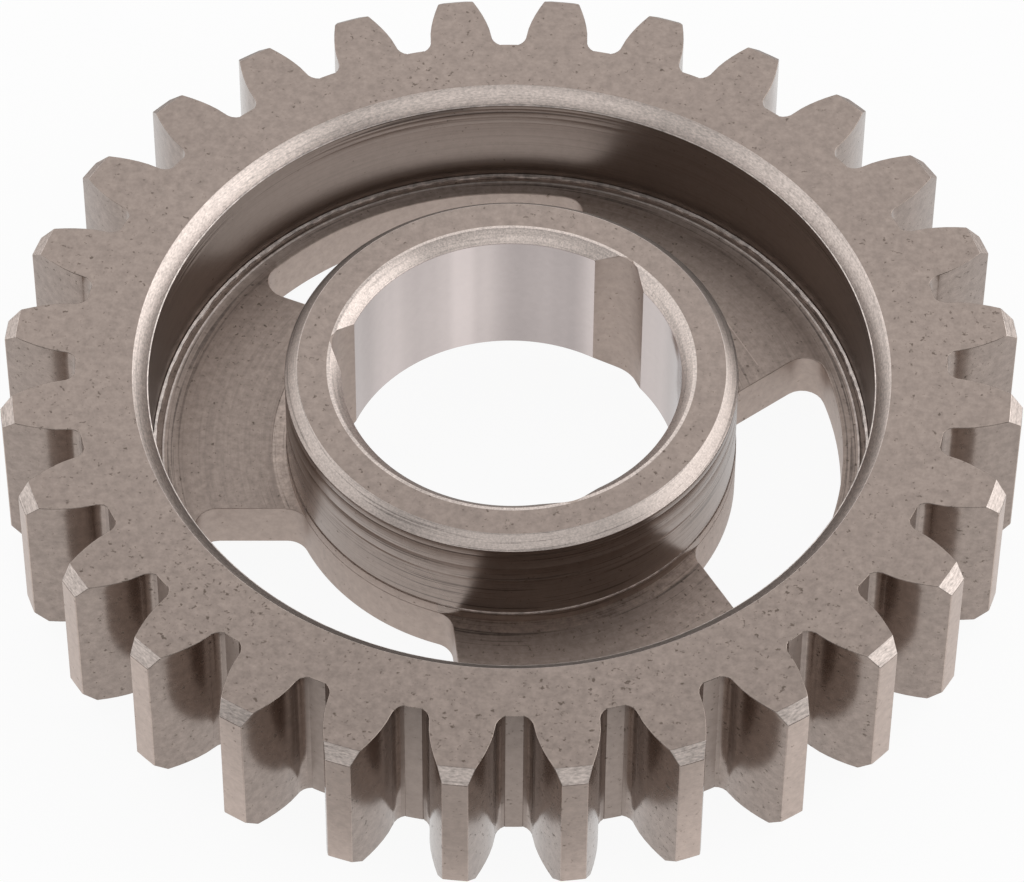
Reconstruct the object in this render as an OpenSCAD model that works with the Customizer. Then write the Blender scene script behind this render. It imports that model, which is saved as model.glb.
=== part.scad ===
// Transmission gear: a straight spur gear in one piece of steel.
// A toothed rim, a thinner web set down between rim and hub, and a long plain
// bore with three lubrication grooves. Three kidney windows lighten the web.
// Millimetres. The axis is Z, the lower rim face lies on z = 0 and +X runs
// through the middle of a tooth.

/* [Teeth] */
// Module, the pitch diameter divided by the number of teeth
gear_module = 3; // [2.75:0.25:4]
// Number of teeth
teeth = 28; // [27:1:40]
// Pressure angle of the involute flanks in degrees
pressure_angle = 20; // [18:1:22]
// Height of a tooth above the pitch circle, in modules
addendum = 1; // [0.8:0.05:1.1]
// Depth of a tooth gap below the pitch circle, in modules
dedendum = 1.25; // [1.15:0.05:1.4]
// Radius of the fillet at each side of a tooth root
root_fillet = 1.35; // [0.4:0.05:1.5]
// Width of the 45 degree chamfer turned on the tooth tips, both faces
tip_chamfer = 1.1; // [0.3:0.1:2]

/* [Rim] */
// Width of the toothed rim along the axis
face_w = 16; // [13:0.5:24]
// Thickness of the rim from the tooth roots in to the wall of the recess
rim_wall = 6.25; // [4:0.25:7.5]
// Width of the 45 degree chamfer round the mouth of the recess
recess_chamfer = 1.35; // [0.4:0.05:2]

/* [Web] */
// Thickness of the web between hub and rim
web_t = 4.7; // [3:0.1:7]
// Depth by which web and hub stand back from the lower rim face
back_relief = 0.5; // [0.2:0.1:1.5]
// Width of the shallow ring turned in the web beside the rim
rim_ring_w = 0.86; // [0.4:0.02:1.2]
// Width of the shallow ring turned in the web beside the hub
hub_ring_w = 1.34; // [0.4:0.02:1.6]
// Depth of both shallow rings
ring_depth = 0.1; // [0.05:0.05:0.3]

/* [Windows] */
// Number of kidney windows through the web
window_count = 3; // [2:1:3]
// Direction of the middle of the first rib, degrees from +X
rib_turn = 54.6; // [0:0.1:119.9]
// Distance from the axis to the line of each rib edge
rib_offset = 7.5; // [4:0.25:9.5]
// Angle by which a rib edge turns away from the middle of its rib
rib_flare = 11.7; // [0:0.1:15]
// Ledge of web left between a window and the wall of the recess
window_rim_ledge = 2.35; // [1.5:0.05:3.5]
// Ledge of web left between a window and the wall of the hub
window_hub_ledge = 0.1; // [0.1:0.05:1.5]
// Radius of the four corners of a window
window_corner = 2; // [0.5:0.1:2.2]

/* [Hub] */
// Outside diameter of the hub
hub_d = 40; // [37:0.5:49]
// Width of the 45 degree chamfer on the upper edge of the hub
hub_chamfer = 1.1; // [0.3:0.1:1.3]
// Diameter of the bore
bore_d = 30; // [24:0.5:33]
// Width of the 45 degree chamfer at each end of the bore
bore_chamfer = 1; // [0.3:0.1:1.2]

/* [Bore grooves] */
// Number of round-bottomed grooves along the bore
groove_count = 3; // [1:1:6]
// Direction of the first groove, degrees from +X
groove_turn = 55.4; // [0:0.1:119.9]
// Radius of the round bottom of a groove
groove_r = 3.6; // [2:0.1:6]
// Depth of a groove below the wall of the bore
groove_depth = 1.1; // [0.3:0.1:1.2]

/* [Hidden] */
// Steps along one flank and along one root fillet
flank_steps = 9;
fillet_steps = 5;
// How far a cutting body runs past what it cuts
over = 1;
// Circles stay true circles
$fn = 96;

pitch_r = gear_module * teeth / 2;
tip_r = pitch_r + addendum * gear_module;
root_r = pitch_r - dedendum * gear_module;
base_r = pitch_r * cos(pressure_angle);

recess_r = root_r - rim_wall;
web_top = back_relief + web_t;
ring_z = web_top - ring_depth;
hub_r = hub_d / 2;
bore_r = bore_d / 2;

tooth_pitch = 360 / teeth;

rib_pitch = 360 / window_count;
window_half = rib_pitch / 2 - rib_flare;
window_out = recess_r - window_rim_ledge;
window_in = hub_r + window_hub_ledge;
corner_r = min(window_corner, 0.48 * (window_out - window_in));

// A point in the plane at radius r and angle a
function polar(r, a) = [r * cos(a), r * sin(a)];

// The involute function, in degrees
function inv(a) = tan(a) * 180 / PI - a;

// Half the angle that a tooth fills at radius r; below the base circle the
// flank runs straight to the axis
function half_tooth(r) =
    tooth_pitch / 4 + inv(pressure_angle) - inv(acos(min(1, base_r / r)));

// The root fillet touches the root circle and the foot of the flank
fillet_orbit = root_r + root_fillet;
fillet_half = asin(root_fillet / fillet_orbit);
fillet_centre = half_tooth(base_r) + fillet_half;
flank_foot = fillet_orbit * cos(fillet_half);
flank_end = tip_r + 0.2;

// The fillet beside a tooth at angle zero, from the root up to the flank
function fillet_side() = [
    for (i = [0 : fillet_steps - 1])
    let (a = 180 + fillet_centre + i * (90 - fillet_half) / fillet_steps)
    polar(fillet_orbit, fillet_centre) + polar(root_fillet, a)
];

// The involute flank of a tooth at angle zero, from its foot to past the tip
function flank_side() = [
    for (i = [0 : flank_steps])
    let (r = flank_foot + (flank_end - flank_foot) * i / flank_steps)
    polar(r, half_tooth(r))
];

function flipped(p) = [p[0], -p[1]];

function turned(p, a) = [
    p[0] * cos(a) - p[1] * sin(a),
    p[0] * sin(a) + p[1] * cos(a)
];

tooth_side = concat(fillet_side(), flank_side());
side_last = len(tooth_side) - 1;

// One whole tooth, from the gap before it to the gap after it
function tooth() = concat(
    [for (p = tooth_side) flipped(p)],
    [for (i = [side_last : -1 : 0]) tooth_side[i]]
);

// The outline of all the teeth, without the land on their tips
module tooth_outline() {
    polygon([
        for (k = [0 : teeth - 1])
        for (p = tooth())
        turned(p, k * tooth_pitch)
    ]);
}

// The turned section, from the bore out to the tooth tips and back
module blank_section() {
    polygon([
        [bore_r, back_relief + bore_chamfer],
        [bore_r + bore_chamfer, back_relief],
        [recess_r, back_relief],
        [recess_r + back_relief, 0],
        [tip_r - tip_chamfer, 0],
        [tip_r, tip_chamfer],
        [tip_r, face_w - tip_chamfer],
        [tip_r - tip_chamfer, face_w],
        [recess_r + recess_chamfer, face_w],
        [recess_r, face_w - recess_chamfer],
        [recess_r, ring_z],
        [recess_r - rim_ring_w, ring_z],
        [recess_r - rim_ring_w, web_top],
        [hub_r + hub_ring_w, web_top],
        [hub_r + hub_ring_w, ring_z],
        [hub_r, ring_z],
        [hub_r, face_w - hub_chamfer],
        [hub_r - hub_chamfer, face_w],
        [bore_r + bore_chamfer, face_w],
        [bore_r, face_w - bore_chamfer]
    ]);
}

// The metal left in one corner of a window, round its fillet. The centre of
// the fillet lies at radius orbit, and way is the angle from that centre
// straight to the window's curved edge.
module corner_fill(orbit, way) {
    turn = window_half - asin((rib_offset + corner_r) / orbit);
    reach = corner_r + over;
    to_curve = turn + way;
    to_rib = window_half + 90;
    tip = reach / cos((to_rib - to_curve) / 2);
    translate(concat(polar(orbit, turn), -over))
    difference() {
        linear_extrude(web_top + 2 * over)
        polygon([
            [0, 0],
            polar(reach, to_curve),
            polar(tip, (to_curve + to_rib) / 2),
            polar(reach, to_rib)
        ]);
        translate([0, 0, -over])
        cylinder(r = corner_r, h = web_top + 4 * over);
    }
}

// One kidney window, its middle on +X: curved along rim and hub, its ends the
// straight edges of the two ribs
module window() {
    apex = rib_offset / sin(window_half);
    far = 2 * recess_r;
    difference() {
        intersection() {
            difference() {
                cylinder(r = window_out, h = web_top + over);
                translate([0, 0, -over])
                cylinder(r = window_in, h = web_top + 3 * over);
            }
            translate([apex, 0, 0])
            linear_extrude(web_top + over)
            polygon([[0, 0], polar(far, -window_half), polar(far, window_half)]);
        }
        for (side = [0, 1])
        mirror([0, side, 0]) {
            corner_fill(window_out - corner_r, 0);
            corner_fill(window_in + corner_r, 180);
        }
    }
}

module windows() {
    for (k = [0 : window_count - 1])
    rotate([0, 0, rib_turn + (k + 0.5) * rib_pitch])
    window();
}

// The lubrication grooves, one round bar each, along the whole bore
module bore_grooves() {
    for (k = [0 : groove_count - 1])
    rotate([0, 0, groove_turn + k * 360 / groove_count])
    translate([bore_r + groove_depth - groove_r, 0, -over])
    cylinder(r = groove_r, h = face_w + 2 * over);
}

module transmission_gear() {
    color([0.62, 0.57, 0.53])
    difference() {
        intersection() {
            rotate_extrude()
            blank_section();
            translate([0, 0, -over])
            linear_extrude(face_w + 2 * over)
            tooth_outline();
        }
        windows();
        bore_grooves();
    }
}

transmission_gear();
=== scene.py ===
import math

import bmesh
import bpy
import numpy as np
from mathutils import Matrix, Vector


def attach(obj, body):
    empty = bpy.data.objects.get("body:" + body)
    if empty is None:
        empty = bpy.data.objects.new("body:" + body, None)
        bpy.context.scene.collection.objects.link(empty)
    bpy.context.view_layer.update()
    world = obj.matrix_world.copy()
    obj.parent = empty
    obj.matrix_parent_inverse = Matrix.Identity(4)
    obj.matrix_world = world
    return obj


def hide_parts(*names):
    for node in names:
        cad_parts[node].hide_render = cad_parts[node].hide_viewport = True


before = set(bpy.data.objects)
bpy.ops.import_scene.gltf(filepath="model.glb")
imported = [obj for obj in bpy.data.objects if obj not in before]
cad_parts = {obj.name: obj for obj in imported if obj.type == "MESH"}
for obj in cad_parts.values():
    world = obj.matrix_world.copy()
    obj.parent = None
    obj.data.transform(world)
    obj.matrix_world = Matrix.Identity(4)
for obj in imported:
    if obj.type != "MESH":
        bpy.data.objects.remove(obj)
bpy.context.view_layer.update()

# The toothed rim: 28 straight involute teeth of module 3, part of the one
# steel blank. A hob cut them and a wheel ground them, after the lathe had
# chamfered their tips on both faces.
MM = 0.001
MODULE = 3 * MM
TEETH = 28
PRESSURE_ANGLE = math.radians(20)
FACE_WIDTH = 16 * MM
TIP_CHAMFER = 1.1 * MM
EDGE_BREAK = 0.07 * MM
ROOT_FLAT = 0.1 * MM
ROOT_STEP = 0.04 * MM
# A broken edge is a quarter circle of three steps. These are the shares of its
# radius by which its two inner points lie off the straight sides.
ARC_NEAR, ARC_FAR = 0.134, 0.5
# The circles on the upper and the lower face up to which the rim is meshed
UPPER_CIRCLE = 33.65 * MM
LOWER_CIRCLE = 32.75 * MM


class Wire:
    """A node socket that Python's own operators turn into Math nodes."""

    def __init__(self, tree, socket=None):
        self.tree = tree
        self.socket = socket

    def node(self, kind, settings=None, inputs=None, out=0):
        made = self.tree.nodes.new(kind)
        for key, value in (settings or {}).items():
            setattr(made, key, value)
        for key, value in (inputs or {}).items():
            if isinstance(value, Wire):
                self.tree.links.new(value.socket, made.inputs[key])
            else:
                made.inputs[key].default_value = value
        return Wire(self.tree, made.outputs[out]) if made.outputs else None

    def math(self, operation, *others, clamp=False):
        settings = {"operation": operation, "use_clamp": clamp}
        values = dict(enumerate((self, *others)))
        return self.node("ShaderNodeMath", settings, values)

    def __add__(self, other):
        return self.math("ADD", other)

    __radd__ = __add__

    def __mul__(self, other):
        return self.math("MULTIPLY", other)

    __rmul__ = __mul__

    def __sub__(self, other):
        return self.math("SUBTRACT", other)

    def __rsub__(self, other):
        return self.math("MULTIPLY", -1.0) + other

    def __truediv__(self, other):
        return self.math("DIVIDE", other)

    def __rtruediv__(self, other):
        return self.math("POWER", -1.0) * other

    def __lt__(self, other):
        return self.math("LESS_THAN", other)

    def __gt__(self, other):
        return self.math("GREATER_THAN", other)

    def __abs__(self):
        return self.math("ABSOLUTE")

    def ramp(self, low, high):
        """0 below low, 1 above high, smooth between them."""
        return self.node(
            "ShaderNodeMapRange",
            {"interpolation_type": "SMOOTHSTEP"},
            {"Value": self, "From Min": low, "From Max": high},
        )

    def blend(self, other, share):
        """This value where share is 0, the other one where it is 1."""
        return self * (1 - share) + share * other

    def parts(self):
        """The three numbers of a vector."""
        return [self.node("ShaderNodeSeparateXYZ", None, {0: self}, axis)
                for axis in range(3)]


STEEL_TINT = (1.0, 0.82, 0.725)
FEED = 0.46 * MM
FEED_TURN = 2 * math.pi / FEED
# Noise scales, in cells to a metre, and how fast grain, turned lines and bands
# change on their way round the axis
DRIFT_SCALE, CLOUD_SCALE, PIT_SCALE, LINE_SCALE, GRAIN_SCALE = 60, 1350, 2100, 2600, 4700
GRAIN_ROUND, LINE_ROUND, BAND_ROUND = 95, 1.3, 2.6
# How much the slow drift over the steel changes brightness, roughness and the
# number of pits, and how far it shifts the feed marks, in radians
DRIFT_SHADE, DRIFT_ROUGH, DRIFT_PITS, DRIFT_FEED = 0.16, 0.08, 0.14, 4
# The noise values between which a turned line shows, and how high feed marks
# and lines are, in micrometres, where ridges is 1
LINE_FROM, LINE_TO = 0.54, 0.66
FEED_HEIGHT, LINE_HEIGHT = 0.4, 2.5
# How far in front of the axis the painted front shade and the extra pits at the front
# reach their fullest
FRONT_END = 44 * MM
# The colour of the dark in a pit as shares of the tone, how much of it is
# seen, and how much rougher it is
PIT_COLOUR, PIT_COVER, PIT_ROUGH = (0.26, 0.19, 0.14), 0.58, 0.2
# The noise value from which a finish with few pits has one, how much lower it
# is where pits is 1 and at the front, and how far above it a pit is darkest
PIT_FROM, PIT_MORE, PIT_FRONT, PIT_FADE = 0.69, 0.06, 0.02, 0.13


def steel(name, tone, gloss, tint=STEEL_TINT, pits=0.0, mottle=0.10, grain=0.0,
          sparkle=0.0, lines=0.0, ridges=0.0, bands=0.0, painted_front_shade=0.0, climb=-1.37,
          grazing=1.0, where=None, streaks=None):
    """One finish of the gear's steel.

    tone and gloss are the metal's brightness and roughness, pits is how
    densely dark pits lie. mottle, sparkle, lines and bands are how much its
    clouds, its grain, its turned lines and its upright bands change the
    brightness, and soiled is painted shade: how much darker the colour is
    made towards the front. grain and ridges are the heights of the grain
    and of the feed marks in micrometres. climb is how the turned lines count
    height against radius, and grazing is how bright the metal stays at a
    flat angle. where(x, y, z, radius) is the strength of the lines, and
    streaks(x, y) what lighter and darker strokes add, painted reflections
    among them.
    """
    material = bpy.data.materials.new(name)
    material.use_nodes = True
    tree = material.node_tree
    tree.nodes.clear()
    base = Wire(tree)
    place = base.node("ShaderNodeTexCoord", out="Object")
    x, y, z = place.parts()
    radius = (x * x + y * y).math("SQRT")
    # One number that changes along every turned face: flat, wall or chamfer
    travel = radius + z * climb

    def noise(vector, scale, detail, rough=0.5):
        return base.node(
            "ShaderNodeTexNoise",
            None,
            {"Vector": vector, "Scale": scale, "Detail": detail, "Roughness": rough},
        )

    def round_path(around, across):
        return base.node("ShaderNodeCombineXYZ", None, {
            "X": x / radius * around, "Y": y / radius * around,
            "Z": travel * across})

    drift = noise(place, DRIFT_SCALE, 1.0)
    cloud = noise(place, CLOUD_SCALE, 2.0, 0.68)
    shade = 1 + (drift - 0.5) * DRIFT_SHADE + (cloud - 0.5) * (4 * mottle)
    rough = gloss + (drift - 0.5) * DRIFT_ROUGH
    height = []
    front = (y * -1).ramp(0, FRONT_END)
    # Painted shade: the colour is made darker towards the front
    if painted_front_shade:
        shade = shade - front * painted_front_shade
    if grain or sparkle:
        fine = noise(round_path(GRAIN_ROUND, GRAIN_SCALE), 1.0, 2.0, 0.65)
        shade = shade + (fine - 0.5) * (4 * sparkle)
        height.append(fine * grain)
    if lines or ridges:
        turned = noise(round_path(LINE_ROUND, LINE_SCALE), 1.0, 2.0, 0.7)
        strength = where(x, y, z, radius) if where else 1.0
        cut = turned.ramp(LINE_FROM, LINE_TO) * strength
        shade = shade - cut * lines + (turned - 0.5) * lines
        feed = (travel * FEED_TURN + drift * DRIFT_FEED).math("SINE")
        feed = feed * (FEED_HEIGHT * ridges)
        height.append((feed + turned * (LINE_HEIGHT * ridges)) * strength)
    if bands:
        around = round_path(BAND_ROUND, 0)
        shade = shade + (noise(around, 1.0, 2.0, 0.55) - 0.5) * (4 * bands)
    if streaks:
        shade = shade + streaks(x, y)
    colour = base.node(
        "ShaderNodeVectorMath",
        {"operation": "SCALE"},
        {0: [tone * share for share in tint], "Scale": shade},
    )
    if pits:
        blots = noise(place, PIT_SCALE, 2.0, 0.6)
        rare = PIT_FROM - PIT_MORE * pits - (drift - 0.5) * DRIFT_PITS
        rare = rare - front * PIT_FRONT
        dark = blots.ramp(rare, rare + PIT_FADE)
        rust = [*(tone * share for share in PIT_COLOUR), 1.0]
        colour = base.node(
            "ShaderNodeMix",
            {"data_type": "RGBA"},
            {"Factor": dark * PIT_COVER, 6: colour, 7: rust},
            2,
        )
        rough = rough + dark * PIT_ROUGH
    inputs = {"Base Color": colour, "Metallic": 1.0, "Roughness": rough,
              "Specular Tint": (grazing, grazing, grazing, 1.0)}
    if height:
        inputs["Normal"] = base.node("ShaderNodeBump", None, {
            "Strength": 1.0, "Distance": 1e-6, "Height": sum(height)})
    shader = base.node("ShaderNodeBsdfPrincipled", None, inputs)
    base.node("ShaderNodeOutputMaterial", None, {0: shader})
    return material


# Painted shade: the face is coloured darker towards the front
ground_face = steel("ground_face", 0.34, 0.42, pits=1.0, mottle=0.15, grain=0.8,
                    sparkle=0.04, painted_front_shade=0.14)
turned_land = steel("turned_land", 0.54, 0.40, pits=0.4, grain=1.0, sparkle=0.06)
ground_flank = steel("ground_flank", 0.325, 0.19, pits=1.0, mottle=0.17)
hobbed_root = steel("hobbed_root", 0.32, 0.34, pits=0.6)
# Painted shade: the chamfers are coloured darker towards the front
CHAMFER_LOOK = {
    "tone": 0.66, "gloss": 0.38, "tint": (1.0, 0.87, 0.80), "mottle": 0.06,
    "grain": 4.2, "sparkle": 0.28, "lines": 0.20, "ridges": 0.8, "painted_front_shade": 0.24,
    "grazing": 0.25,
}
outer_chamfer = steel("outer_chamfer", climb=-1.0, **CHAMFER_LOOK)


def tree_inputs(tree, sizes):
    """Named inputs of a tree, each with the socket that it is set by."""
    found = {}
    entry = tree.nodes.new("NodeGroupInput")
    for name, value in sizes.items():
        kind = "NodeSocketFloat"
        if value is None:
            kind = "NodeSocketGeometry"
        elif isinstance(value, int):
            kind = "NodeSocketInt"
        socket = tree.interface.new_socket(name, in_out="INPUT", socket_type=kind)
        found[name] = (Wire(tree, entry.outputs[name]), socket.identifier, value)
    return found


def set_round_axis(tree, geometry, count, finishes):
    """Sets a sector round the axis and gives each surface its finish."""
    base = Wire(tree)
    points = base.node("GeometryNodePoints", None, {"Count": count})
    turn = base.node("GeometryNodeInputIndex") * (2 * math.pi) / count
    spin = base.node("ShaderNodeCombineXYZ", None, {"Z": turn})
    spin = base.node("FunctionNodeEulerToRotation", None, {0: spin})
    ring = base.node(
        "GeometryNodeInstanceOnPoints",
        None,
        {"Points": points, "Instance": geometry, "Rotation": spin},
    )
    ring = base.node("GeometryNodeRealizeInstances", None, {0: ring})
    for chosen, material in finishes:
        ring = base.node(
            "GeometryNodeSetMaterial",
            None,
            {"Geometry": ring, "Selection": chosen, "Material": material},
        )
    tree.interface.new_socket(
        "Geometry", in_out="OUTPUT", socket_type="NodeSocketGeometry"
    )
    result = tree.nodes.new("NodeGroupOutput")
    tree.links.new(ring.socket, result.inputs[0])


def grown(mesh, tree, sizes):
    """The plain mesh that a tree makes of a base mesh."""
    base = bpy.data.objects.new("blank", mesh)
    bpy.context.scene.collection.objects.link(base)
    modifier = base.modifiers.new("shape", "NODES")
    modifier.node_group = tree
    for _, key, value in sizes.values():
        if value is not None:
            modifier[key] = value
    bpy.context.view_layer.update()
    seen = base.evaluated_get(bpy.context.evaluated_depsgraph_get())
    plain = bpy.data.meshes.new_from_object(seen)
    bpy.data.objects.remove(base)
    return plain


# Each tooth is one bent grid. Its columns run from the middle of the tooth to
# the middle of the gap: land, flank from START to FOOT, root fillet to ROOT,
# and the strip in the root from STRIP to GAP. Its rows run from the middle of
# the face width over the edge to the circle.
START, FOOT, ROOT, STRIP, GAP = 3, 8, 13, 14, 15
CIRCLE_ROW = 7
# What is this close to the tip circle belongs to the tooth's land
LAND_REACH = 0.1 * MM

teeth_tree = bpy.data.node_groups.new("gear_teeth", "GeometryNodeTree")
teeth_sizes = tree_inputs(
    teeth_tree,
    {
        "Module": MODULE,
        "Teeth": TEETH,
        "Pressure Angle": PRESSURE_ANGLE,
        "Addendum": 1.0,
        "Dedendum": 1.25,
        "Root Fillet": 1.35 * MM,
        "Tip Chamfer": TIP_CHAMFER,
        "Face Width": FACE_WIDTH,
        "Edge Break": EDGE_BREAK,
        "Root Flat": ROOT_FLAT,
        "Root Step": ROOT_STEP,
        "Upper Circle": UPPER_CIRCLE,
        "Lower Circle": LOWER_CIRCLE,
    },
)
(module, teeth, pressure, addendum, dedendum, fillet, chamfer, width, edge,
 flat, rise, upper, lower) = (entry[0] for entry in teeth_sizes.values())

teeth_base = Wire(teeth_tree)
grid = teeth_base.node(
    "GeometryNodeMeshGrid",
    None,
    {
        "Size X": 2.0 * GAP,
        "Size Y": 2.0 * CIRCLE_ROW,
        "Vertices X": 2 * GAP + 1,
        "Vertices Y": 2 * CIRCLE_ROW + 1,
    },
)
position = teeth_base.node("GeometryNodeInputPosition")
column, row = (part.math("ROUND") for part in position.parts()[:2])
side, step = column.math("SIGN"), abs(column)
above, tier = row.math("SIGN"), abs(row)


def pick(index, values):
    """The value at a whole-number index."""
    total = 0.0
    for number, value in enumerate(values):
        if isinstance(value, Wire) or value:
            total = index.math("COMPARE", float(number), 0.5) * value + total
    return total


def involute(angle):
    """The angle between the start of an involute and its point."""
    return angle.math("TANGENT") - angle


pitch_r = module * teeth / 2
tip_r = pitch_r + addendum * module
root_r = pitch_r - dedendum * module
base_r = pitch_r * pressure.math("COSINE")


def half_tooth(r):
    """Half the angle that a tooth fills at a radius."""
    lean = (base_r / r).math("MINIMUM", 1.0).math("ARCCOSINE")
    return math.pi / 2 / teeth + involute(pressure) - involute(lean)


# Rows: how deep below its rim face each lies, and how far its outline is
# drawn in to break the edge
depth = pick(tier, [
    width / 2, chamfer + edge / 2, chamfer - edge / 2, edge,
    edge * ARC_FAR, edge * ARC_NEAR, 0, 0,
])
drawn_in = pick(tier, [0, 0, 0, 0, edge * ARC_NEAR, edge * ARC_FAR, edge, 0])
eased = pick(tier, [0, 0, 0, 0, edge * 0.03, edge * 0.16, edge * 0.41, 0])
limit = tip_r - (chamfer - depth).math("MAXIMUM", 0.0) - eased

# Columns on the tip land and the flank, in polar coordinates
orbit = root_r + fillet
fillet_half = (fillet / orbit).math("ARCSINE")
fillet_turn = half_tooth(base_r) + fillet_half
foot_r = orbit * fillet_half.math("COSINE")
down = ((step - START) / (FOOT - START)).math("ADD", 0.0, clamp=True)
flank_r = (limit - edge).blend(foot_r, down)
land_turn = half_tooth(limit) - drawn_in / base_r
flank_turn = half_tooth(flank_r) - drawn_in / base_r
on_flank = step > START - 0.5
in_gap = step > STRIP - 0.5
polar_r = pick(step, [limit, limit, limit - edge * 0.3])
polar_turn = pick(step, [
    0, land_turn - edge / limit, land_turn - edge * 0.3 / limit,
])
polar_r = polar_r + on_flank * flank_r
polar_turn = polar_turn + on_flank * flank_turn

# The hob left a flat strip along the middle of each root, a little proud
clip = (1 - flat / fillet).math("ARCCOSINE")
strip_r = root_r + flat + rise - drawn_in
strip_turn = fillet_turn - (fillet * clip.math("SINE") - rise * 0.6) / strip_r
polar_r = polar_r.blend(strip_r, in_gap)
polar_turn = polar_turn.blend(
    strip_turn.blend(math.pi / teeth, step > STRIP + 0.5), in_gap)

# The circle that the rim shares with the recess
on_circle = tier > CIRCLE_ROW - 0.5
polar_r = polar_r.blend(lower.blend(upper, above > 0.0), on_circle)
polar_turn = polar_turn.blend(step / GAP * (math.pi / teeth), on_circle)
flat_x = polar_r * polar_turn.math("COSINE")
flat_y = polar_r * polar_turn.math("SINE")

# Columns on the root fillet, round its own centre
round_the = (step - FOOT - 1) / (ROOT - FOOT - 1)
swing = (
    fillet_turn - fillet_half + 1.5 * math.pi
    - round_the * (math.pi / 2 - fillet_half - clip)
)
bend = fillet + drawn_in
round_x = orbit * fillet_turn.math("COSINE") + bend * swing.math("COSINE")
round_y = orbit * fillet_turn.math("SINE") + bend * swing.math("SINE")
on_fillet = (step > FOOT + 0.5) * (step < ROOT + 0.5) * (1 - on_circle)

tooth = teeth_base.node(
    "GeometryNodeSetPosition",
    None,
    {
        "Geometry": grid,
        "Position": teeth_base.node("ShaderNodeCombineXYZ", None, {
            "X": flat_x.blend(round_x, on_fillet),
            "Y": flat_y.blend(round_y, on_fillet) * side,
            "Z": width / 2 + above * (width / 2 - depth),
        }),
    },
)
normal_z = abs(teeth_base.node("GeometryNodeInputNormal").parts()[2])
face_x, face_y, _ = position.parts()
face_r = (face_x * face_x + face_y * face_y).math("SQRT")
everywhere, lying, upright = normal_z > -1.0, normal_z > 0.97, normal_z < 0.25
slanting = (normal_z > 0.5) * (normal_z < 0.9)
set_round_axis(teeth_tree, tooth, teeth, [
    (everywhere, ground_flank),
    (lying, ground_face),
    (upright * (face_r > tip_r - LAND_REACH), turned_land),
    (upright * (face_r < root_r + flat + rise + edge), hobbed_root),
    (slanting * (face_r > tip_r - chamfer), outer_chamfer),
])
rim = grown(bpy.data.meshes.new("rim_blank"), teeth_tree, teeth_sizes)


# The recess and the web, of the same steel. A lathe cut the deep ring into the
# upper face and left a burr round its foot, and an end mill opened the three
# kidney windows.
RIBS = 3
RIB_TURN = 54.6
# Millimetres from here to the finished sector: heights above the lower face
FACE, WEB_TOP, RING_FLOOR, BACK = FACE_WIDTH / MM, 5.2, 5.1, 0.5
RECESS_R, RECESS_CHAMFER = 32.0, 1.35
RIM_RING_R, HUB_RING_R = 31.14, 21.34
WINDOW_OUT, WINDOW_IN = 29.65, 20.1
RIB_OFFSET, RIB_FLARE, CORNER = 7.5, 11.7, 2.0
BREAK = 0.08


def near_mouth(x, y, z, radius):
    """Turned lines are strong near the mouth of the recess and weak below."""
    return 0.2 + z.ramp(11.5 * MM, 14.4 * MM)


def near_walls(x, y, z, radius):
    """Turned lines are strong on the web beside hub and rim."""
    return 1.2 - radius.ramp(21 * MM, 24 * MM) + radius.ramp(28.5 * MM, 31 * MM)


SCRATCH_WAY = (0.565, -0.825)
SCRATCH_OFF, SCRATCH_FROM, SCRATCH_TO = -23.94, -4.3, 2.5
SCRATCH_CORE, SCRATCH_SIDE, SCRATCH_LIGHT = 0.02, 0.07, 0.35


def rib_scratch(x, y):
    """A light stroke across the rib that lies behind the hub at the right."""
    across = x * SCRATCH_WAY[1] - y * SCRATCH_WAY[0] - SCRATCH_OFF * MM
    along = x * SCRATCH_WAY[0] + y * SCRATCH_WAY[1]
    inside = (along > SCRATCH_FROM * MM) * (along < SCRATCH_TO * MM)
    stroke = 1 - abs(across).ramp(SCRATCH_CORE * MM, SCRATCH_SIDE * MM)
    return stroke * inside * SCRATCH_LIGHT


finishes = {
    "face": ground_face,
    "inner": steel("inner_chamfer", climb=1.0, **CHAMFER_LOOK),
    "recess": steel("turned_recess", 0.315, 0.32, pits=0.2, mottle=0.05, lines=0.5,
                    ridges=0.6, grazing=0.5, where=near_mouth),
    "burr": steel("burr", 0.62, 0.42, (1.0, 0.89, 0.83), mottle=0.4),
    "ridge": steel("ridge", 0.47, 0.44, (1.0, 0.87, 0.80), mottle=0.3),
    "web": steel("turned_web", 0.38, 0.50, pits=1.1, mottle=0.17, grain=1.2,
                 sparkle=0.06, lines=0.55, ridges=0.7, where=near_walls,
                 streaks=rib_scratch),
    "window": steel("milled_window", 0.455, 0.48, pits=0.6),
    "ring": steel("turned_ring", 0.46, 0.44, pits=0.6, mottle=0.25, grain=2.5,
                  sparkle=0.15, lines=0.35, ridges=1.0),
}

# One sector, a rib with half a window on each side of it, is meshed row by
# row. Index 0 is its column in the middle of the rib, and the last ones are in
# the middles of the two windows. They are even where they meet the rim.
HALF, RIB_COLUMNS = 140, 80
index = np.arange(-HALF, HALF + 1)
rib = np.abs(index) <= RIB_COLUMNS
even_step = 360 / TEETH / (2 * GAP)
even = (index + round(RIB_TURN / even_step)) * even_step - RIB_TURN
sector_half = 180 / RIBS
window_half = sector_half - RIB_FLARE


def polar(r, turn):
    """Points in the plane at a radius and an angle in degrees."""
    turn = np.radians(turn)
    return np.stack([r * np.cos(turn), r * np.sin(turn)], axis=-1)


def split(inner, at, middle=0.0):
    """Columns spread evenly inside an angle, and evenly outside it."""
    side = np.sign(index)
    inside = middle + index / at * inner
    share = (np.abs(index) - at) / (HALF - at)
    border = middle + side * inner
    outside = border + share * (side * sector_half - border)
    return np.where(np.abs(index) <= at, inside, outside)


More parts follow.
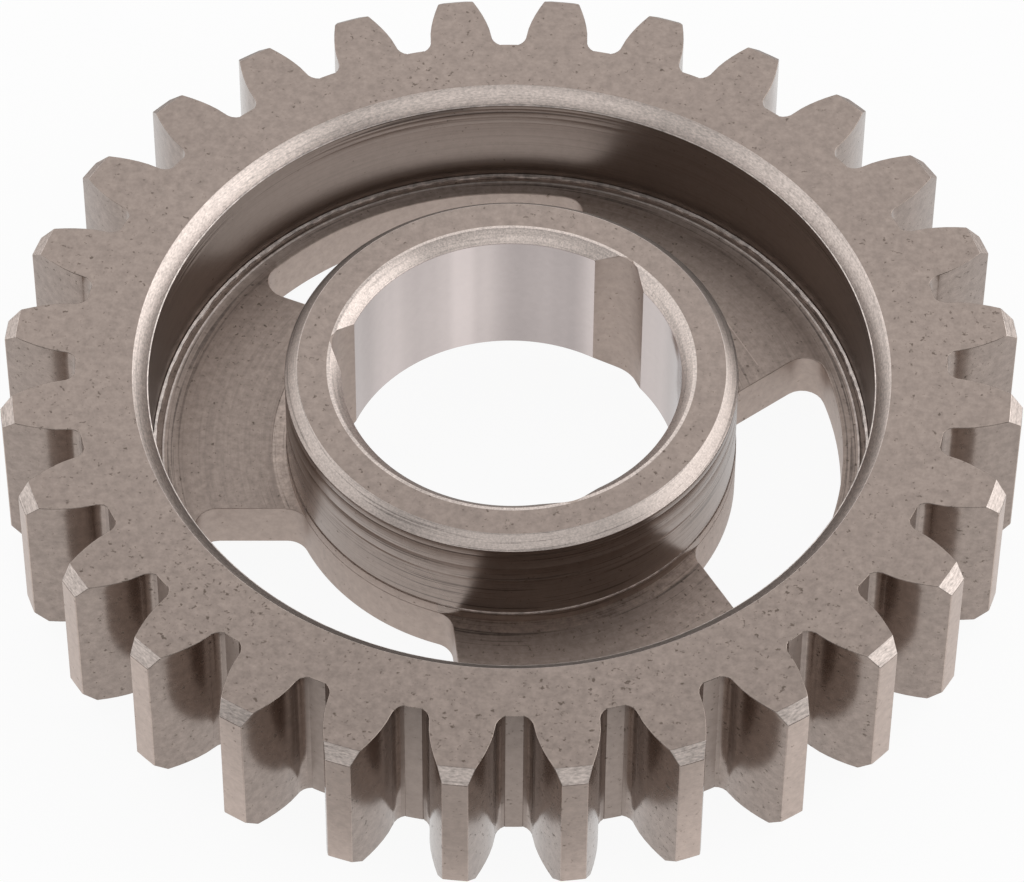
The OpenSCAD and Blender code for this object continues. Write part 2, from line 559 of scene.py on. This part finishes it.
def rounded(corners, steps=3):
    """A turned profile of corners (r, z, break), each rounded by its break."""
    path = []
    for number, (r, z, radius) in enumerate(corners):
        here = np.array([r, z])
        if not radius:
            path.append(here)
            continue
        back = np.array(corners[number - 1][:2]) - here
        ahead = np.array(corners[number + 1][:2]) - here
        back, ahead = (v / np.linalg.norm(v) for v in (back, ahead))
        half = math.acos(back @ ahead) / 2
        middle = back + ahead
        centre = here + middle / np.linalg.norm(middle) * radius / math.sin(half)
        start = here + back * radius / math.tan(half) - centre
        end = here + ahead * radius / math.tan(half) - centre
        sweep = math.pi - 2 * half
        for share in np.linspace(0, 1, steps + 1):
            arm = (math.sin((1 - share) * sweep) * start
                   + math.sin(share * sweep) * end)
            path.append(centre + arm / math.sin(sweep))
    return path


points, faces, finish_of = [], [], []


def sheet(rows, finish):
    """A grid of faces between rows of points, all of one finish or one
    finish for each column."""
    rows = np.array(rows)
    high, wide = rows.shape[:2]
    first = sum(len(p) for p in points)
    points.append(rows.reshape(-1, 3))
    for i in range(high - 1):
        for j in range(wide - 1):
            a = first + i * wide + j
            faces.append((a, a + 1, a + 1 + wide, a + wide))
            finish_of.append(finish[j] if isinstance(finish, list) else finish)


def flat_patch(rows, finish):
    """One flat face inside the border of a grid of points."""
    first = sum(len(p) for p in points)
    border = [*rows[0], *(row[-1] for row in rows[1:-1]), *rows[-1][::-1],
              *(row[0] for row in rows[-2:0:-1])]
    points.append(np.array(border))
    faces.append(tuple(range(first, first + len(border))))
    finish_of.append(finish)


def level(r, turn, z):
    """A row of points at one radius and height, or at one for each column."""
    return np.column_stack([polar(r, turn), np.broadcast_to(z, len(turn))])


# The end of a window as points with their outward directions, from the rim
# side to the hub side, for a window whose middle lies on +X. Each has the
# height of the web there and the share of the edge break that it gets.
line = polar(1.0, window_half - 90)
along = polar(1.0, window_half)
CORNER_POINTS = 8
end = []


def corner_points(reach, start):
    """Points round a corner whose centre lies at a radius, each with its
    outward direction. The first one points start degrees off the radius."""
    turn = window_half - math.degrees(math.asin((RIB_OFFSET + CORNER) / reach))
    centre = polar(reach, turn)
    ways = np.linspace(turn + start, window_half + 90, CORNER_POINTS)
    return [(centre + CORNER * polar(1.0, way), polar(1.0, way)) for way in ways]


for spot, out in corner_points(WINDOW_OUT - CORNER, 0):
    end.append((spot, out, WEB_TOP, 1.0))
# Along the straight edge of the rib, and over its step down to the ring
step_run = math.sqrt(HUB_RING_R ** 2 - (RIB_OFFSET - BREAK) ** 2)
edge_runs = [(24.4, WEB_TOP), (22.2, WEB_TOP), (step_run, WEB_TOP),
             (step_run, RING_FLOOR)]
for run, z in edge_runs:
    end.append((line * RIB_OFFSET + along * run, -line, z, 1.0))
for number, (spot, out) in enumerate(corner_points(WINDOW_IN + CORNER, 180)[::-1]):
    end.append((spot, out, RING_FLOOR, 1.0 - 0.1 * number))


def end_polar(entry, drawn):
    """The radius, and the angle off the middle of the rib, of a point of the
    window's end that is drawn back into the web by its share of a break."""
    spot, out, z, share = entry
    x, y = spot + out * drawn * share
    return math.hypot(x, y), sector_half - math.degrees(math.atan2(y, x))


rim_side = end_polar(end[0], BREAK)
hub_side = end_polar(end[-1], BREAK)
outer_columns = split(rim_side[1], RIB_COLUMNS)
inner_columns = split(hub_side[1], RIB_COLUMNS)

# From the rim face down the chamfer, which ends in a narrow lip, to the wall
CHAMFER_END = FACE - RECESS_CHAMFER
LIP_R, LIP_TOP = RECESS_R + 0.13, CHAMFER_END + 0.13
WALL_END = RING_FLOOR + 0.14
mouth = rounded([
    (UPPER_CIRCLE / MM, FACE, 0),
    (RECESS_R + RECESS_CHAMFER, FACE, 0.05),
    (LIP_R, LIP_TOP, 0),
    (LIP_R - 0.02, LIP_TOP - 0.06, 0),
    (RECESS_R, CHAMFER_END + 0.02, 0.04),
    (RECESS_R, WALL_END, 0),
])
mouth_rows = [level(r, even, z) for r, z in mouth]
chamfer_row, lip_row, wall_row = 1, 6, 10
sheet(mouth_rows[:chamfer_row + 1], "face")
sheet(mouth_rows[chamfer_row:lip_row + 1], "inner")
sheet(mouth_rows[lip_row:wall_row + 1], "burr")


def tool_marks(r, marks, turn, into):
    """Rows of shallow grooves that the turning tool left in a wall, from the
    top down. Each mark is a height, a depth and half a width; into is the
    way from the wall into the metal."""
    rows = []
    for number, (z, deep, half) in enumerate(marks):
        ebb = 0.65 + 0.35 * np.sin(np.radians(turn) * 3 * (1 + number % 3) + 2 * number)
        cut = r + into * deep * ebb
        rows += [level(r, turn, z + half), level(cut, turn, z + half / 3),
                 level(cut, turn, z - half / 3), level(r, turn, z - half)]
    return rows


mouth_marks = [(14.25, 0.015, 0.10), (13.80, 0.020, 0.12), (13.20, 0.015, 0.10),
               (12.35, 0.010, 0.10)]
sheet([
    mouth_rows[wall_row],
    *tool_marks(RECESS_R, mouth_marks, even, 1),
    mouth_rows[-1],
], "recess")

# The burr's profile: how far it stands in from the wall, how much of that is
# uneven, and its height over the ring. The waves that make it uneven have
# their number round the gear, their share and their shift.
BURR_PROFILE = [(0.00, 0.00, 0.14), (0.03, 0.00, 0.23), (0.08, 0.02, 0.26),
                (0.31, 0.06, 0.19), (0.37, 0.07, 0.11), (0.38, 0.07, 0.00)]
BURR_WAVES = [(21, 0.25, 1), (39, 0.4, 0), (66, 0.2, 2), (141, 0.3, 3)]
uneven = sum(
    share * np.sin(np.radians(even) * times + shift)
    for times, share, shift in BURR_WAVES
)
burr = [
    level(RECESS_R - inward - share * uneven, even, RING_FLOOR + high)
    for inward, share, high in BURR_PROFILE
]

# The low ridge between ring and web: how far out from the ring's edge each of
# its points lies, and its height
RIDGE_PROFILE = [(0.05, RING_FLOOR), (0.03, WEB_TOP + 0.03), (-0.02, WEB_TOP + 0.06),
                 (-0.12, WEB_TOP + 0.03), (-0.18, WEB_TOP)]
ridge = [level(RIM_RING_R + outward, even, z) for outward, z in RIDGE_PROFILE]
sheet(burr, "burr")
sheet([burr[-1], ridge[0]], "web")
sheet(ridge, "ridge")
sheet([ridge[-1], level(rim_side[0], outer_columns, WEB_TOP)], "web")

# The rib, above and below, and the back of the web out to the rim. The step
# down to the ring beside the hub is where the height changes.
rib_rows = [
    level(r, split(turn, RIB_COLUMNS)[rib], entry[2])
    for entry in end
    for r, turn in [end_polar(entry, BREAK)]
]
stepped = [entry[2] for entry in end].index(RING_FLOOR)
flat_patch(rib_rows[:stepped], "web")
sheet(rib_rows[stepped - 1:stepped + 1], "web")
flat_patch(rib_rows[stepped:], "ring")
flat_patch([row * (1, 1, 0) + (0, 0, BACK) for row in rib_rows], "web")
relief = rounded([
    (rim_side[0], BACK, 0), (RIM_RING_R, BACK, 0), (RECESS_R, BACK, 0.1),
    (RECESS_R + BACK, 0, 0.1), (LOWER_CIRCLE / MM, 0, 0),
], 2)
sheet([
    level(r, outer_columns if number == 0 else even, z)
    for number, (r, z) in enumerate(relief)
], "face")

# The walls of the window, their upper and lower edges broken
arc = index >= RIB_COLUMNS
mirror_turn = math.radians(sector_half)
outline = []
for turn in outer_columns[arc][:0:-1]:
    way = polar(1.0, turn)
    outline.append((WINDOW_OUT * way, way, WEB_TOP, 1.0))
for spot, out, z, share in end:
    to_sector = [
        np.array([v[0] * math.cos(mirror_turn) + v[1] * math.sin(mirror_turn),
                  v[0] * math.sin(mirror_turn) - v[1] * math.cos(mirror_turn)])
        for v in (spot, out)
    ]
    outline.append((*to_sector, z, share))
for turn in inner_columns[arc][1:]:
    way = polar(1.0, turn)
    outline.append((WINDOW_IN * way, -way, RING_FLOOR, end[-1][3]))
edge_arc = [(1.0, 0.0), (ARC_FAR, ARC_NEAR), (ARC_NEAR, ARC_FAR), (0.0, 1.0)]
for side in (1, -1):
    rows = []
    for drawn, deep in edge_arc:
        rows.append([
            [*(spot + out * share * drawn * BREAK) * (1, side), z - deep * BREAK]
            for spot, out, z, share in outline
        ])
    for drawn, deep in edge_arc[::-1]:
        rows.append([
            [*(spot + out * share * drawn * BREAK) * (1, side), BACK + deep * BREAK]
            for spot, out, z, share in outline
        ])
    sheet(rows, "window")

# The hub and its bore, turned from the same steel and flush with the rim face.
# A boring tool and a hone finished the hole, and three round-bottomed grooves
# were drawn along it to carry oil.
HUB_R, HUB_CHAMFER = 20.0, 1.1
FOOT_R, FOOT_TOP = hub_side[0], 6.34
CREASE, SHOULDER = (-0.05, -0.06), (-0.015, -0.17)
FOOT_EDGE = -0.23
BORE_R, BORE_CHAMFER = 15.0, 1.0
GROOVE_TURN, GROOVE_R, GROOVE_DEPTH = 55.4, 3.6, 1.1
GROOVE_COLUMNS = 20
HUB_FACE_IN = 16.3

finishes["hub"] = steel("turned_hub", 0.33, 0.28, pits=0.2, mottle=0.07,
                        lines=0.55, ridges=1.6)
finishes["hub edge"] = steel("hub_chamfer", climb=-1.0, **{
    **CHAMFER_LOOK, "tone": 0.60, "sparkle": 0.2, "lines": 0.45, "ridges": 2.0})
# The bore's painted reflections: the direction of each band in degrees from
# +X, the angles beside it where it begins and ends to fade, and how much it
# takes or gives
DULL_AT, DULL_FROM, DULL_TO, DULL_BY = 86, 10, 19, 0.24
BRIGHT_AT, BRIGHT_FROM, BRIGHT_TO, BRIGHT_BY = 113, 2, 6, 0.12


def bore_painted_reflections(x, y):
    """Painted reflections: a duller and a brighter band along the back of the bore."""
    turn = y.math("ARCTAN2", x)
    dull = 1 - abs(turn - math.radians(DULL_AT)).ramp(
        math.radians(DULL_FROM), math.radians(DULL_TO))
    bright = 1 - abs(turn - math.radians(BRIGHT_AT)).ramp(
        math.radians(BRIGHT_FROM), math.radians(BRIGHT_TO))
    return bright * BRIGHT_BY - dull * DULL_BY


# Painted reflection: the bore's duller and brighter bands stand in for the room that it
# mirrors
finishes["bore"] = steel("honed_bore", 0.61, 0.12, (1.0, 0.89, 0.865), mottle=0.02,
                         bands=0.16, grazing=0.8, streaks=bore_painted_reflections)
finishes["groove"] = steel("cut_groove", 0.44, 0.50, pits=0.5)

groove_orbit = BORE_R + GROOVE_DEPTH - GROOVE_R


def bore_level(r, z):
    """A ring of the bore's wall, drawn out to the groove where it is cut."""
    share = (groove_orbit ** 2 + r * r - GROOVE_R ** 2) / (2 * groove_orbit * r)
    reach = max(math.degrees(math.acos(min(1.0, share))), 1.0)
    turn = split(reach, GROOVE_COLUMNS, GROOVE_TURN - RIB_TURN)
    off = np.radians(turn - (GROOVE_TURN - RIB_TURN))
    cut = np.full(len(turn), r)
    inside = np.abs(index) <= GROOVE_COLUMNS
    across = groove_orbit * np.sin(off[inside])
    cut[inside] = np.maximum(r, groove_orbit * np.cos(off[inside])
                             + np.sqrt(GROOVE_R ** 2 - across ** 2))
    return level(cut, turn, z)


hub = rounded([
    (HUB_FACE_IN, FACE, 0), (HUB_R - HUB_CHAMFER, FACE, 0.08),
    (HUB_R, FACE - HUB_CHAMFER, 0.1), (HUB_R, FOOT_TOP, 0),
])
hub_marks = [(14.15, 0.020, 0.11), (12.40, 0.030, 0.15), (10.75, 0.030, 0.15),
             (10.25, 0.018, 0.11)]
hub_rows = [level(r, inner_columns, z) for r, z in hub[1:]]
hub_wall_row = 5
sheet([bore_level(HUB_FACE_IN, FACE), hub_rows[0]], "face")
sheet(hub_rows[:hub_wall_row + 1], "hub edge")
sheet([*hub_rows[hub_wall_row:-1],
       *tool_marks(HUB_R, hub_marks, inner_columns, -1), hub_rows[-1]], "hub")

# The wall ends in a crease, with a narrow shoulder below it. Over a rib the
# shoulder is bright, and over a window the mill took it and the foot.
foot = [
    level(r, inner_columns, z)
    for r, z in ((HUB_R, FOOT_TOP), (HUB_R + CREASE[0], FOOT_TOP + CREASE[1]),
                 (FOOT_R + SHOULDER[0], FOOT_TOP + SHOULDER[1]),
                 (FOOT_R, FOOT_TOP + FOOT_EDGE), (FOOT_R, RING_FLOOR))
]
over_rib = [abs(i + 0.5) < RIB_COLUMNS for i in range(-HALF, HALF)]
sheet(foot[:2], "hub")
sheet(foot[1:4], ["burr" if on_rib else "window" for on_rib in over_rib])
sheet(foot[3:], ["hub" if on_rib else "window" for on_rib in over_rib])

bore = rounded([
    (HUB_FACE_IN, FACE, 0), (BORE_R + BORE_CHAMFER, FACE, 0.08),
    (BORE_R, FACE - BORE_CHAMFER, 0.1), (BORE_R, BACK + BORE_CHAMFER, 0.1),
    (BORE_R + BORE_CHAMFER, BACK, 0.08), (HUB_FACE_IN, BACK, 0),
], 2)
bore_rows = [bore_level(r, z) for r, z in bore]
in_groove = [abs(i + 0.5) < GROOVE_COLUMNS for i in range(-HALF, HALF)]
wall = ["groove" if cut else "bore" for cut in in_groove]
sloped = ["groove" if cut else "inner" for cut in in_groove]
bore_wall_row, bore_wall_end = 5, 8
sheet(bore_rows[:bore_wall_row + 1], sloped)
sheet(bore_rows[bore_wall_row:bore_wall_end + 1], wall)
sheet(bore_rows[bore_wall_end:], sloped)
sheet([bore_rows[-1], level(hub_side[0], inner_columns, BACK)], "face")

# The sector as a mesh, turned to its rib and set three times round the axis
turn = math.radians(RIB_TURN)
spots = np.concatenate(points)
spots = spots @ np.array([
    [math.cos(turn), math.sin(turn), 0],
    [-math.sin(turn), math.cos(turn), 0],
    [0, 0, 1],
]) * MM
sector = bpy.data.meshes.new("sector_blank")
sector.from_pydata(spots.tolist(), [], faces)
finish = sector.attributes.new("finish", "INT", "FACE")
names = list(finishes)
finish.data.foreach_set("value", [names.index(name) for name in finish_of])

sector_tree = bpy.data.node_groups.new("sectors_round_axis", "GeometryNodeTree")
sector_sizes = tree_inputs(sector_tree, {"Sector": None, "Count": RIBS})
sector_base = Wire(sector_tree)
kind = sector_base.node(
    "GeometryNodeInputNamedAttribute", {"data_type": "INT"}, {"Name": "finish"})
set_round_axis(sector_tree, sector_sizes["Sector"][0], sector_sizes["Count"][0], [
    (kind.math("COMPARE", float(number), 0.5), material)
    for number, material in enumerate(finishes.values())
])
middle = grown(sector, sector_tree, sector_sizes)


# The gear is one piece of steel, so rim and middle become one closed mesh.
# It takes the place of the plain model node.
WELD_REACH = 0.002 * MM
SHARP_FROM = math.radians(32)
gear_mesh = bpy.data.meshes.new("gear")
whole = bmesh.new()
for made in (rim, middle):
    begin = len(whole.faces)
    whole.from_mesh(made)
    whole.faces.ensure_lookup_table()
    for face in whole.faces[begin:]:
        material = made.materials[face.material_index]
        if material.name not in gear_mesh.materials:
            gear_mesh.materials.append(material)
        face.material_index = gear_mesh.materials.find(material.name)
bmesh.ops.remove_doubles(whole, verts=whole.verts, dist=WELD_REACH)
bmesh.ops.recalc_face_normals(whole, faces=whole.faces)
for face in whole.faces:
    face.smooth = True
for border in whole.edges:
    border.smooth = border.calc_face_angle(0) < SHARP_FROM
whole.to_mesh(gear_mesh)
whole.free()

gear = bpy.data.objects.new("gear", gear_mesh)
bpy.context.scene.collection.objects.link(gear)
weighted = gear.modifiers.new("weighted", "WEIGHTED_NORMAL")
weighted.keep_sharp = True
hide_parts("transmission_gear")
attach(gear, "root")


# The floor is a plain white table. What the metal mirrors of it is a painted
# glow, with painted shade that makes it darker towards the camera, so the metal
# sees it get darker there. It keeps the soft shadow of the gear.
TABLE = 2.0
DARK_FROM, DARK_TO = -43 * MM, -51 * MM
SHOWN, MIRRORED = 0.93, 0.86
floor_mesh = bpy.data.meshes.new("floor")
floor_mesh.from_pydata(
    [(-TABLE, -TABLE, 0), (TABLE, -TABLE, 0), (TABLE, TABLE, 0), (-TABLE, TABLE, 0)],
    [], [(0, 1, 2, 3)])
floor = bpy.data.objects.new("floor", floor_mesh)
bpy.context.scene.collection.objects.link(floor)
paint = bpy.data.materials.new("floor_white")
paint.use_nodes = True
paint.node_tree.nodes.clear()
floor_base = Wire(paint.node_tree)
seen = floor_base.node("ShaderNodeLightPath", out="Is Camera Ray")
mirrored = floor_base.node("ShaderNodeLightPath", out="Is Glossy Ray")
dull = floor_base.node("ShaderNodeBsdfDiffuse", None, {"Color": (0.86, 0.86, 0.86, 1)})
# Painted shade: for glossy rays the glow is half as bright in front of the gear as
# behind it
behind = floor_base.node("ShaderNodeTexCoord", out="Object").parts()[1]
behind = behind.ramp(DARK_TO, DARK_FROM)
near, far = (0.5, 0.5, 0.5, 1), (1, 1, 1, 1)
tone = floor_base.node("ShaderNodeMix", {"data_type": "RGBA"}, {
    "Factor": behind.math("MAXIMUM", seen), 6: near, 7: far}, 2)
glow = floor_base.node("ShaderNodeEmission", None, {"Color": tone, "Strength": 1.0})
share = seen * SHOWN + mirrored * MIRRORED
mixed = floor_base.node("ShaderNodeMixShader", None, {0: share, 1: dull, 2: glow})
floor_base.node("ShaderNodeOutputMaterial", None, {0: mixed})
floor_mesh.materials.append(paint)

# Soft light from both sides and from behind, and little from the camera's
# side, so the walls that face the camera stay dark.
ROOM_LIGHT = 0.28
world = bpy.data.worlds.new("studio")
world.use_nodes = True
world.node_tree.nodes.clear()
room_base = Wire(world.node_tree)
seen = room_base.node("ShaderNodeLightPath", out="Is Camera Ray")
room = room_base.node("ShaderNodeBackground", None, {
    "Color": (1, 1, 1, 1), "Strength": ROOM_LIGHT + seen * (1 - ROOM_LIGHT)})
room_base.node("ShaderNodeOutputWorld", None, {0: room})
bpy.context.scene.world = world

HEADING = math.radians(95.678)
LAMP_AWAY = 0.9


def softbox(name, turn, height, wide, tall, radiance):
    """An area light round the gear, turn degrees left of the camera's
    heading and height degrees up, facing the gear."""
    lamp = bpy.data.lights.new(name, "AREA")
    lamp.shape = "RECTANGLE"
    lamp.size, lamp.size_y = wide, tall
    lamp.energy = radiance * math.pi * wide * tall
    holder = bpy.data.objects.new(name, lamp)
    bpy.context.scene.collection.objects.link(holder)
    way = HEADING + math.radians(turn)
    lift = math.radians(height)
    spot = Vector((math.cos(way) * math.cos(lift), math.sin(way) * math.cos(lift),
                   math.sin(lift))) * LAMP_AWAY
    holder.location = spot
    holder.rotation_euler = (-spot).to_track_quat("-Z", "Y").to_euler()
    holder.visible_camera = False


softbox("light_right", -82, 23, 1.3, 0.72, 1.45)
softbox("light_left", 82, 23, 1.3, 0.72, 0.80)
softbox("light_back", 0, 42, 2.0, 1.5, 0.79)
softbox("light_front", 180, 37, 1.3, 0.5, 0.80)

# The camera stands where the photograph was taken from: its place, tilt, roll
# and lens come from a fit to the circles of the gear.
TILT = math.radians(50.916)
ROLL = math.radians(0.490)
FOCAL_PIXELS, FRAME_PIXELS, SENSOR = 6062.81, 1024, 36.0
# Millimetres by which the middle of the upper face lies to the right of the
# camera, above it and in front of it
RIGHT_BY, UP_BY, AWAY = -0.0815, 6.6671, 533.21
forward = Vector((math.cos(HEADING) * math.cos(TILT),
                  math.sin(HEADING) * math.cos(TILT), -math.sin(TILT)))
right = Vector((math.sin(HEADING), -math.cos(HEADING), 0))
up = right.cross(forward)
eye = Vector((0, 0, FACE)) - right * RIGHT_BY - up * UP_BY - forward * AWAY
lens = bpy.data.cameras.new("camera")
lens.lens = FOCAL_PIXELS * SENSOR / FRAME_PIXELS
lens.sensor_width = SENSOR
lens.clip_start, lens.clip_end = 0.01, 20
camera = bpy.data.objects.new("camera", lens)
bpy.context.scene.collection.objects.link(camera)
turned = Matrix((right, up, -forward)).transposed().to_4x4()
camera.matrix_world = (
    Matrix.Translation(eye * MM) @ turned @ Matrix.Rotation(ROLL, 4, "Z"))
bpy.context.scene.camera = camera
bpy.context.scene.view_settings.view_transform = "Standard"
